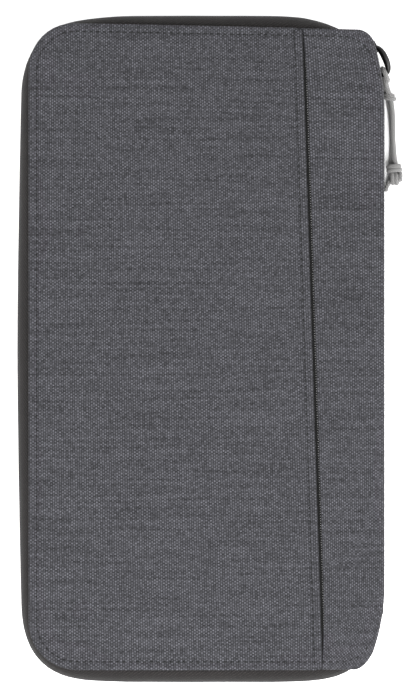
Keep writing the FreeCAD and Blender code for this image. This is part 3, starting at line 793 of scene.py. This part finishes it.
def make_tape(side):
    """One side's zip tape: it bulges from the cover's seam out to the zip line."""
    edge = panel_edge(TAPE_SEAM_INSET)
    front = side == "front"
    seam_z = TAPE_HIGH.z - 0.1 if front else BACK_TAPE_LOW.z + 0.1
    meet_z = MIDDLE + (0.25 if front else -0.25)
    points = []
    uvs = []
    for (x, y, nx, ny), travel in zip(ZIP_PLACES, ZIP_TRAVEL):
        nearest = edge[np.argmin(((edge - (x, y)) ** 2).sum(1))]
        wave = TAPE_SLACK * noise.noise(Vector((travel / 14, 0, 1.0 if front else 8.0)))
        for level in range(TAPE_LEVELS + 1):
            angle = level / TAPE_LEVELS * math.pi / 2
            outward = math.sin(angle)
            bulge = TAPE_BULGE + wave * math.sin(2 * angle)
            points.append((nearest[0] + (x + nx * bulge - nearest[0]) * outward,
                           nearest[1] + (y + ny * bulge - nearest[1]) * outward,
                           meet_z + (seam_z - meet_z) * math.cos(angle) ** 0.8))
            uvs.append((travel, level))
    faces = grid_faces(len(ZIP_PLACES), TAPE_LEVELS + 1)
    piece = make_mesh(f"zip_tape_{side}_cloth", points, faces, uvs)
    return finish_piece(piece, f"{side}_half", "zip_tape", f"zip_tape_{side}")


def along_zip(distance):
    """Place and outward direction at a distance along the zip line."""
    index = max(1, min(len(ZIP_TRAVEL) - 1, int(np.searchsorted(ZIP_TRAVEL, distance))))
    share = (distance - ZIP_TRAVEL[index - 1]) / (ZIP_TRAVEL[index] - ZIP_TRAVEL[index - 1])
    before, after = ZIP_PLACES[index - 1], ZIP_PLACES[index]
    return [a + (b - a) * share for a, b in zip(before, after)]


def make_coil(side):
    """One side's nylon coil, a spiral whose loops stand in the other side's gaps."""
    front = side == "front"
    middle = MIDDLE + (COIL_SEAT if front else -COIL_SEAT)
    around = 10
    turns = int((ZIP_TRAVEL[-1] - 2.0 - COIL_START) / COIL_PITCH)
    path = []
    for number in range(turns * around):
        distance = COIL_START + COIL_PITCH * (number / around + (0.5 if front else 0.0))
        x, y, nx, ny = along_zip(distance)
        angle = math.tau * number / around
        inward = 1.45 - 0.95 * math.cos(angle)
        path.append((x - nx * inward, y - ny * inward, middle + COIL_HALF_HEIGHT * math.sin(angle)))
    piece = tube(f"zip_coil_{side}_teeth", path, COIL_WIRE, 5)
    return finish_piece(piece, f"{side}_half", "zip_coil", f"zip_coil_{side}")


def make_binding(side):
    """Ribbon folded over the seam inside one cover."""
    low, high = span(f"{side}_binding")
    middle = (low.z + high.z) / 2
    path = [(x - nx * BINDING_INSET, y - ny * BINDING_INSET, middle) for x, y, nx, ny in ZIP_PLACES]

    def section(share, angle):
        return BINDING_HALF * (abs(math.cos(angle)) ** 4 + abs(math.sin(angle)) ** 4) ** -0.25

    piece = tube(f"{side}_binding_ribbon", path, section, 12, ups=[UP] * len(path), flat=0.25)
    return finish_piece(piece, f"{side}_half", "binding", f"{side}_binding")


# ---------------- spine

STRIP_ROWS = 95
SPINE_REACH = 9.3
SPINE_BULGE = 0.8
SPINE_SINK = 0.9
SPINE_ARCH = 9.8
BOARD_MARGIN = 3.0
FOLDS = {"fold_cloth": ([(65.3, 3.6), (65.5, 2.9), (65.0, 2.1), (64.0, 1.5), (62.5, 1.2)], "shell_fabric"),
         "fold_lining": ([(64.3, 3.6), (64.1, 3.1), (63.5, 2.75), (62.5, 2.6), (61.0, 2.55)], "lining")}
FOLD_FROM = (64.6, 3.5)
FOLD_TO = (62.6, 1.5)


def strip(name, profile, half_length):
    """A long cloth strip: the profile (x, z) drawn along Y, slightly wavy."""
    points = []
    uvs = []
    for row in range(STRIP_ROWS + 1):
        y = -half_length + 2 * half_length * row / STRIP_ROWS
        travelled = 0.0
        for index, (x, z) in enumerate(profile):
            if index:
                travelled += math.dist(profile[index - 1], (x, z))
            points.append((x + 0.15 * noise.noise(Vector((y / 22, z / 8, 2))), y, z))
            uvs.append((y, travelled))
    return make_mesh(name, points, grid_faces(STRIP_ROWS + 1, len(profile)), uvs)


def make_spine():
    """The spine's outer cloth, its board and its lining."""
    half = SPINE_HIGH.y + 1.0
    outside = [(SPINE_HIGH.x - SPINE_SINK + SPINE_BULGE * (1 - ((z - MIDDLE) / SPINE_ARCH) ** 2), z)
               for z in np.linspace(MIDDLE - SPINE_REACH, MIDDLE + SPINE_REACH, 15)]
    cloth = strip("spine_cloth", outside, half)
    finish_piece(cloth, "spine", "shell_fabric", "spine_fabric")
    inside = [(span("spine_lining")[0].x - 0.05, z)
              for z in np.linspace(MIDDLE - SPINE_REACH, MIDDLE + SPINE_REACH, 9)]
    lining = strip("spine_lining_cloth", inside, half - 1)
    finish_piece(lining, "spine", "lining", "spine_lining")
    low, high = span("spine_stiffener")
    near, far = BOARD_MARGIN, THICKNESS - BOARD_MARGIN
    section = [(low.x, near), (high.x, near), (high.x, far), (low.x, far), (low.x, near)]
    stiffener = strip("spine_board", section, half - 2)
    finish_piece(stiffener, "spine", "stiffener", "spine_stiffener")


def make_folds():
    """The cloth and the lining that bridge the spine's two folds."""
    for side, way in (("front", 1), ("back", -1)):
        fold = MIDDLE + way * MIDDLE
        for name, (points, slot) in FOLDS.items():
            profile = [(x, fold - way * depth) for x, depth in points]
            piece = strip(f"{side}_{name}", profile, SPINE_HIGH.y - 1.0)
            piece.data.materials.append(MATERIALS[slot])
            start, end = [(x * MM, 0, (fold - way * depth) * MM) for x, depth in (FOLD_FROM, FOLD_TO)]
            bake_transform(piece)
            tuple(start)
            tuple(end)


# ---------------- inside

LINING_RADII = (30.0, 30.0, 22.6, 22.6)
POCKET_SEAM = 1.8
MOUTH_HEM = 3.0
RIM_INSET = 0.9
COIN_WIRE = 0.24
LOOP_WALL = 0.8
LOOP_CORNER = 3.0


def inside_panel(node, facing, radii=(1.0,) * 4, swell=0.0, opens=None, part=None, label=""):
    """Cloth over one CAD layer: its face looks into the wallet and its edges are turned back.

    opens is the side with a pocket's mouth, and part a piece of the node's box, with its label.
    """
    low, high = part or span(node)
    face = span(node)[1 if facing > 0 else 0].z
    box = (low.x, high.x, low.y, high.y)
    seed = RANDOM.uniform(0, 50)
    limit = min(high.x - low.x, high.y - low.y) / 2 - 0.6
    slot = [row["material_slot"] for row in frame["record"]["subparts"] if row["node"] == node][0]
    body = "back_half" if facing > 0 else "front_half"

    def place(x, y, inset, drop):
        u = (x - low.x) / (high.x - low.x)
        v = (y - low.y) / (high.y - low.y)
        bulge = {"top": v * math.sin(math.pi * u), "right": u * math.sin(math.pi * v), None: 0.0}[opens]
        slack = 0.12 * noise.noise(Vector((x / 16, y / 20, seed))) + swell * bulge
        return (x, y, face + facing * (0.04 + slack * clamp(inset / 5) - drop))

    rings = [(min(TURNED_EDGE, limit), 0.45), (0.15, 0.42), (0.0, 0.25), (0.15, 0.06), (0.5, 0.0)]
    rings += inner_rings(1.2, limit, 9) if limit > 1.6 else []
    piece = ring_sheet(f"{node}_cloth{label}", box, radii, rings, place, side_x=24, side_y=32,
                       down=facing < 0)
    finish_piece(piece, body, slot, node)
    if opens:
        height = face + facing * 0.12
        sew_mouth(node, body, facing, box, opens, height, place)


def sew_mouth(node, body, facing, box, opens, height, place):
    """A pocket's seam on three sides, its mouth's hem, and the ribbon on the mouth's edge."""
    x0, x1 = box[0] + POCKET_SEAM, box[1] - POCKET_SEAM
    y0, y1 = box[2] + POCKET_SEAM, box[3] - POCKET_SEAM
    if opens == "top":
        corners = [(x0, y1), (x0, y0), (x1, y0), (x1, y1)]
        ends = Vector((x0, box[3] - MOUTH_HEM)), Vector((x1, box[3] - MOUTH_HEM))
        to_edge = Vector((0, MOUTH_HEM - RIM_INSET))
    else:
        corners = [(x1, y1), (x0, y1), (x0, y0), (x1, y0)]
        ends = Vector((box[1] - MOUTH_HEM, y0)), Vector((box[1] - MOUTH_HEM, y1))
        to_edge = Vector((MOUTH_HEM - RIM_INSET, 0))
    seam = [(x, y, place(x, y, POCKET_SEAM, 0.0)[2]) for x, y in corners]
    stitch_row(f"stitches_{node}", seam, body, facing=facing)
    run = [ends[0].lerp(ends[1], step / 30) for step in range(31)]
    hem = [(x, y, place(x, y, MOUTH_HEM, 0.0)[2]) for x, y in run]
    stitch_row(f"stitches_{node}_hem", hem, body, facing=facing)
    rim = [(*(point + to_edge), height) for point in run]
    ribbon = tube(f"{node}_rim", rim, MOUTH_RIM, 10, ups=[UP] * len(rim), flat=0.16)
    finish_piece(ribbon, body, "binding")


def make_inside():
    """Linings, slip pockets and card slots of both halves, and the coin pocket's cloth."""
    inside_panel("back_lining", 1, LINING_RADII)
    inside_panel("front_lining", -1, LINING_RADII)
    inside_panel("banknote_pocket", 1, swell=0.5, opens="top")
    inside_panel("coin_pocket_panel", 1)
    inside_panel("coin_pocket_top", 1)
    inside_panel("ticket_pocket", -1, swell=0.3, opens="right")
    inside_panel("passport_pocket", -1, swell=0.5, opens="top")
    for number in range(1, 5):
        inside_panel(f"card_slot_{number}", -1, swell=0.1, opens="top")


def make_coin_zip():
    """The coin pocket's two zip tapes and their coils."""
    low, high = span("coin_zip_tapes")
    middle = (low.y + high.y) / 2
    for label, y0, y1 in (("low", low.y, middle - 0.4), ("high", middle + 0.4, high.y)):
        part = (Vector((low.x, y0, low.z)), Vector((high.x, y1, high.z)))
        inside_panel("coin_zip_tapes", 1, part=part, label=f"_{label}")
    low, high = span("coin_zip_coils")
    height = (low.z + high.z) / 2
    for label, way in (("low", -1), ("high", 1)):
        path = []
        for step in range(int(high.x - low.x - 1) * 10):
            angle = math.tau * step / 10
            x = low.x + 0.5 + step / 10 + (0.5 if way > 0 else 0.0)
            path.append((x, middle + way * (0.75 - 0.62 * math.cos(angle)),
                         height + (0.5 - COIN_WIRE) * 1.6 * math.sin(angle)))
        piece = tube(f"coin_zip_coil_{label}", path, COIN_WIRE, 5)
        finish_piece(piece, "back_half", "zip_coil", "coin_zip_coils")


def make_pen_loop():
    """The elastic loop sewn to the spine's lining: a band with soft edges, drawn along Y and back."""
    low, high = span("pen_loop")
    end = high.y
    run = [(2 * end - 2) * step / 20 for step in range(21)]
    rows = [(0.4, -end), (0.08, -end + 0.15), (0.0, -end + 0.5)]
    rows += [(0.0, -end + 1 + away) for away in run]
    rows += [(0.0, end - 0.5), (0.08, end - 0.15), (0.4, end), (0.72, end - 0.15), (LOOP_WALL, end - 0.5)]
    rows += [(LOOP_WALL, end - 1 - away) for away in run]
    rows += [(LOOP_WALL, -end + 0.5), (0.72, -end + 0.15)]
    points = []
    uvs = []
    for inset, y in rows:
        ring = outline(low.x + inset, high.x - inset, low.z + inset, high.z - inset,
                       [LOOP_CORNER - inset] * 4, 10, 12, 8)
        points += [(x, y, z) for x, z in ring]
        uvs += [(number * 0.5, y) for number in range(len(ring))]
    faces = grid_faces(len(rows), len(points) // len(rows), close=True, loop=True)
    piece = make_mesh("pen_loop_elastic", points, faces, uvs)
    finish_piece(piece, "spine", "elastic", "pen_loop")


# ---------------- floor, light and camera

FLOOR_SIZE = 8.0
VIEW_HEIGHT = 1.5
IMAGE_HEIGHT = 252.3 * MM
VIEW_CENTRE = (3.42 * MM, -0.36 * MM)
SENSOR = 36.0
HORIZON_LIGHT = 0.5
ZENITH_LIGHT = 2.6
SOFTBOXES = {"softbox_low": (40, 0.8, (0.1, -0.75, 0.9)), "softbox_left": (26, 1.0, (-1.4, -0.1, 0.6)),
             "softbox_right": (44, 0.9, (1.5, 0.1, 0.75))}


def make_stage():
    """A plain pale floor under a soft studio sky."""
    bpy.ops.mesh.primitive_plane_add(size=FLOOR_SIZE, location=(0, 0, 0))
    floor = bpy.context.object
    floor.name = "floor"
    s = Shader("pale_floor")
    s.set(Base_Color=s.mix(s.noise(s.object_place(), 3.0), grey(0.62), grey(0.64)), Roughness=0.95)
    floor.data.materials.append(s.material)
    world = bpy.data.worlds.new("studio")
    bpy.context.scene.world = world
    world.use_nodes = True
    tree = world.node_tree
    direction = tree.nodes.new("ShaderNodeSeparateXYZ")
    tree.links.new(tree.nodes.new("ShaderNodeTexCoord").outputs["Generated"], direction.inputs[0])
    dome = tree.nodes.new("ShaderNodeMapRange")
    tree.links.new(direction.outputs["Z"], dome.inputs["Value"])
    dome.inputs["From Min"].default_value = 0.0
    dome.inputs["To Min"].default_value = HORIZON_LIGHT
    dome.inputs["To Max"].default_value = ZENITH_LIGHT
    tree.nodes["Background"].inputs["Color"].default_value = (1, 1, 1, 1)
    tree.links.new(dome.outputs["Result"], tree.nodes["Background"].inputs["Strength"])


def make_lights():
    """Soft boxes that light the sides; each gives its watts, its size and its place in metres."""
    for name, (energy, size, place) in SOFTBOXES.items():
        data = bpy.data.lights.new(name, "AREA")
        data.energy = energy
        data.size = size
        light = bpy.data.objects.new(name, data)
        light.location = place
        light.rotation_euler = (-Vector(place)).to_track_quat("-Z", "Y").to_euler()
        bpy.context.scene.collection.objects.link(light)


def make_camera():
    """The camera, straight above."""
    data = bpy.data.cameras.new("camera")
    data.sensor_width = SENSOR
    data.lens = SENSOR * (VIEW_HEIGHT - MIDDLE * MM) / IMAGE_HEIGHT
    camera = bpy.data.objects.new("camera", data)
    camera.location = (*VIEW_CENTRE, VIEW_HEIGHT)
    bpy.context.scene.collection.objects.link(camera)
    bpy.context.scene.camera = camera
    bpy.context.scene.view_settings.view_transform = "Standard"


# ---------------- ring, cord and knots

RING_LEAN = math.radians(40)
RING_HALF_LENGTH = 5.2
RING_HALF_WIDTH = 3.5
RING_SQUARENESS = 2.4
RING_BAR_HALF = 1.0
RING_STEPS = 72

EXIT_A = (66.7, 99.5, 9.5)
EXIT_B = (65.5, 100.9, 8.0)
STRAND_A = [EXIT_A, (66.9, 97.2, 6.9), (67.6, 94.4, 4.4), (68.8, 91.2, 3.0), (69.6, 87.0, 2.8),
            (69.8, 81.5, 2.8), (69.8, 76.0, 2.8), (70.2, 70.5, 2.8), (70.7, 66.5, 2.5)]
STRAND_B = [EXIT_B, (65.6, 98.2, 4.9), (66.6, 95.0, 2.3), (67.9, 91.4, 1.05), (68.8, 86.5, 0.95),
            (69.3, 81.0, 0.95), (69.5, 76.0, 0.95), (69.4, 70.5, 0.95), (69.2, 66.5, 1.1)]


PIVOT = [Vector(joint["pos_m"]) / MM for joint in frame["joints"] if joint["name"] == "puller_swing"][0]
RING_FOOT = Vector(((EXIT_A[0] + EXIT_B[0]) / 2 + 0.5, EXIT_A[1] - 0.6, PIVOT.z))
RING_ALONG = (RING_FOOT - PIVOT).normalized()


def make_ring():
    """The puller's ring: an oval of rounded flat bar that leans out beyond the spine."""
    outward = Vector((-RING_ALONG.y, RING_ALONG.x, 0))
    across = outward * math.sin(RING_LEAN) + UP * math.cos(RING_LEAN)
    path = []
    for step in range(RING_STEPS):
        angle = math.tau * step / RING_STEPS
        cos, sin = math.cos(angle), math.sin(angle)
        reach = (abs(cos) ** RING_SQUARENESS + abs(sin) ** RING_SQUARENESS) ** (-1 / RING_SQUARENESS)
        path.append(PIVOT + RING_ALONG * (RING_HALF_LENGTH * (1 + reach * cos))
                    + across * (RING_HALF_WIDTH * reach * sin))
    ups = [RING_ALONG.cross(across)] * RING_STEPS

    def section(share, angle):
        swell = 0.74 + 0.44 * math.sin(math.tau * share) ** 2
        return RING_BAR_HALF * swell * (abs(math.cos(angle)) ** 3 + abs(math.sin(angle)) ** 3) ** (-1 / 3)

    piece = tube("zip_puller_ring_oval", path, section, 20, closed=True, ups=ups, flat=0.85)
    return finish_piece(piece, "zip_puller", "dark_metal", "zip_puller_ring")


def line_length(line):
    """Length of a line of points."""
    return sum((after - before).length for before, after in zip(line, line[1:]))


def cord_surface(share, angle):
    """Radius of the cord, slightly uneven where its yarns cross."""
    crossings = math.sin(4 * angle + share * 190) + math.sin(4 * angle - share * 190)
    return CORD_RADIUS * (1 + 0.03 * crossings)


def knot_surface(share, angle):
    """The cord is pulled a little thinner in the knots."""
    return 0.94 * cord_surface(share, angle)


def loops(centre, wide, high, pitch, turns, axis, lean, start):
    """Turns of cord round an axis in the floor's plane; lean shears them along the axis."""
    forward = Vector((math.cos(axis), math.sin(axis), 0))
    side = Vector((-forward.y, forward.x, 0))
    points = []
    steps = int(turns * 12)
    for step in range(steps + 1):
        angle = start + math.tau * turns * step / steps
        shift = pitch * (turns * step / steps - turns / 2)
        across = side * (wide * math.cos(angle)) + forward * (lean * wide * math.cos(angle))
        points.append(Vector(centre) + across + UP * (high * math.sin(angle)) + forward * shift)
    return points


def make_knots():
    """The knot near the ring and the bigger one that ends the cord, wound from the same cord."""
    down = math.radians(-86)
    upper = loops((68.7, 91.3, 2.35), 1.6, 1.4, 1.0, 1.6, down, lean=0.4, start=0.6)
    end = loops((70.3, 65.2, 2.45), 2.2, 1.45, 1.35, 1.9, down, lean=0.12, start=0.4)
    lobes = loops((70.6, 61.8, 2.3), 1.7, 1.35, 1.4, 2.6, math.radians(172), lean=-0.1, start=1.2)
    tail = [(68.3, 60.3, 2.4), (67.8, 59.4, 1.3), (67.3, 58.2, 0.95), (67.1, 57.2, 0.95)]
    pieces = []
    for name, line, node in (("upper", upper, "pull_cord_knot_upper"),
                             ("end", end + lobes + tail, "pull_cord_knot_end")):
        piece = tube(f"cord_knot_{name}", smooth_line(line, resolution=4), knot_surface, 14)
        pieces.append(finish_piece(piece, "zip_puller", "cord", node))
    return pieces


def make_bight():
    """The fold of the doubled cord, drawn over the ring's bar."""
    bar = PIVOT + RING_ALONG * (2 * RING_HALF_LENGTH)
    steps = [(2.3, -1.5), (2.4, 1.3), (0.9, 2.3), (-1.1, 2.3), (-2.2, 0.9), (-2.2, -1.4)]
    over = [tuple(bar + RING_ALONG * out + UP * up) for out, up in steps]
    line = smooth_line([EXIT_A] + over + [EXIT_B])
    piece = tube("cord_bight", line, cord_surface, 16)
    return finish_piece(piece, "zip_puller", "cord")


def make_cord():
    """The doubled cord on the ring: two strands, a knot near the ring and one at the end.
    """
    pieces = make_knots() + [make_bight()]
    for piece in pieces:
        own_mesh(piece)
    for name, controls in (("a", STRAND_A), ("b", STRAND_B)):
        line = smooth_line(controls)
        piece = tube(f"cord_strand_{name}", line, cord_surface, 16)
        finish_piece(piece, "zip_puller", "cord", f"pull_cord_{name}")
        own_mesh(piece)
        line_length(line) * MM


# ---------------- build

make_stage()
make_lights()
make_camera()
make_ring()
make_cord()
make_front_cover()
make_spine_strip()
make_back_cover()
make_slip_pocket()
make_hem()
make_front_stitches()
for half in ("front", "back"):
    make_tape(half)
    make_coil(half)
    make_binding(half)
make_spine()
make_folds()
make_inside()
make_coin_zip()
make_pen_loop()

for part in frame["record"]["subparts"]:
    node = frame["nodes"][part["node"]]
    node.data.materials.clear()
    node.data.materials.append(MATERIALS[part["material_slot"]])
